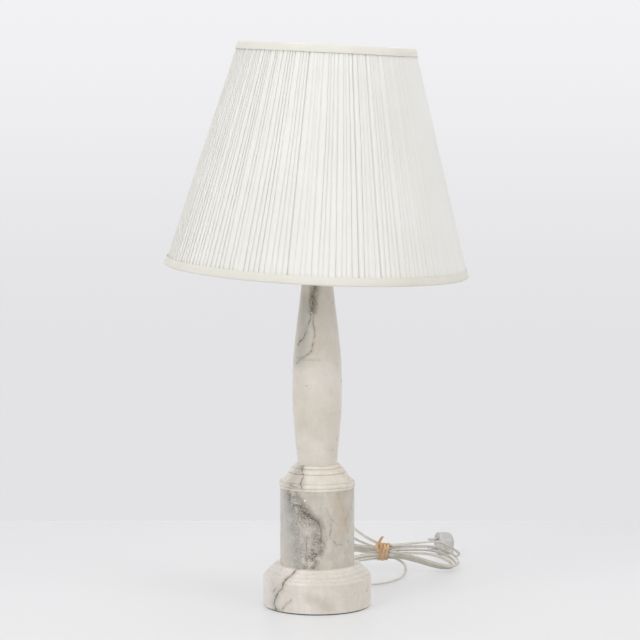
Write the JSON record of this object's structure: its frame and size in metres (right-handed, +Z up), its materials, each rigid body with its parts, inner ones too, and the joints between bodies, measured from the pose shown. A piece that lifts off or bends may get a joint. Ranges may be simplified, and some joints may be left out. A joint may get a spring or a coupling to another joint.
{
  "type": "table lamp",
  "caption": "Table lamp with a turned stone column on a stepped round base, a tilting lampholder with bulb and harp, a pleated cone shade and a tied hank of flex with its plug.",
  "frame": {"origin": "bottom centre of the round base, on the surface the lamp stands on", "axes": "+Z up along the column; +Y to the rear, where the flex leaves the base; +X to the right of a viewer in front"},
  "size_m": [0.5134, 0.7154, 0.9319],
  "materials": {
    "stone": "polished cream marble",
    "felt": "felt",
    "brass": "satin brass",
    "steel": "zinc-plated steel",
    "shade_fabric": "pleated off-white cloth",
    "shade_liner": "white styrene lining",
    "trim_tape": "folded cloth tape",
    "wire_white": "white-painted steel wire",
    "flex": "ivory twin flex",
    "plug_plastic": "pale grey moulded plastic",
    "tie": "tan tie band",
    "porcelain": "glazed porcelain",
    "black_plastic": "black moulding",
    "card": "insulating card",
    "bulb_shell": "clear glass",
    "aluminium_cap": "bright aluminium",
    "bulb_inside": "clear glass stem",
    "black_glass": "black insulating glass",
    "filament_wire": "tungsten wire"
  },
  "bodies": {
    "base": {"felt_pad": "felt", "plinth": "stone", "drum": "stone", "cornice": "stone", "column": "stone", "neck_cap": "brass", "tie_rod": "steel", "base_washer": "steel", "base_nut": "steel", "top_nut": "brass", "cord_grommet": "black_plastic", "inner_flex": "flex", "knuckle_fork": "brass", "clamp_nut": "brass", "cord_run": "flex", "cord_hank": "flex", "hank_tie": "tie", "cord_tail": "flex", "plug_body": "plug_plastic", "plug_pins": "steel", "plug_relief": "plug_plastic"},
    "clamp": {"clamp_screw": "brass"},
    "head": {"knuckle_tongue": "brass", "nipple": "steel", "holder_locknut": "steel", "harp_saddle": "brass", "holder_cap": "brass", "holder_shell": "brass", "holder_liner": "card", "holder_core": "porcelain", "terminal_screws": "brass", "screw_shell": "brass", "centre_contact": "brass", "core_wires": "flex", "harp": "brass", "harp_stud": "brass"},
    "key": {"switch_key": "black_plastic"},
    "bulb": {"bulb_glass": "bulb_shell", "bulb_cap": "aluminium_cap", "bulb_insulator": "black_glass", "bulb_contact": "aluminium_cap", "bulb_stem": "bulb_inside", "filament": "filament_wire"},
    "sleeve_left": {"harp_sleeve_left": "brass"},
    "sleeve_right": {"harp_sleeve_right": "brass"},
    "shade": {"pleated_cover": "shade_fabric", "shade_lining": "shade_liner", "bottom_trim": "trim_tape", "top_trim": "trim_tape", "bottom_ring": "wire_white", "top_ring": "wire_white", "shade_ribs": "wire_white", "spider": "wire_white"},
    "finial": {"finial": "brass"}
  },
  "joints": [
    {"name": "head_tilt", "type": "hinge", "parent": "base", "child": "head", "pos_m": [0, 0, 0.584], "axis": [0.7071, 0.7071, 0], "range_deg": [-18.8, 11.2]},
    {"name": "clamp_turn", "type": "hinge", "parent": "base", "child": "clamp", "pos_m": [0, 0, 0.584], "axis": [0.7071, 0.7071, 0], "continuous": true},
    {"name": "key_turn", "type": "hinge", "parent": "head", "child": "key", "pos_m": [0.00206, -0.00206, 0.6275], "axis": [-0.7055, 0.7055, 0.0668], "continuous": true},
    {"name": "bulb_turn", "type": "hinge", "parent": "head", "child": "bulb", "pos_m": [0, 0, 0.584], "axis": [0.0472, -0.0472, 0.9978], "continuous": true},
    {"name": "sleeve_left_lift", "type": "slide", "parent": "head", "child": "sleeve_left", "axis": [0.0472, -0.0472, 0.9978], "range_m": [0, 0.012]},
    {"name": "sleeve_right_lift", "type": "slide", "parent": "head", "child": "sleeve_right", "axis": [0.0472, -0.0472, 0.9978], "range_m": [0, 0.012]},
    {"name": "shade_turn", "type": "hinge", "parent": "head", "child": "shade", "pos_m": [0, 0, 0.584], "axis": [0.0472, -0.0472, 0.9978], "continuous": true},
    {"name": "finial_turn", "type": "hinge", "parent": "head", "child": "finial", "pos_m": [0, 0, 0.584], "axis": [0.0472, -0.0472, 0.9978], "continuous": true}
  ]
}
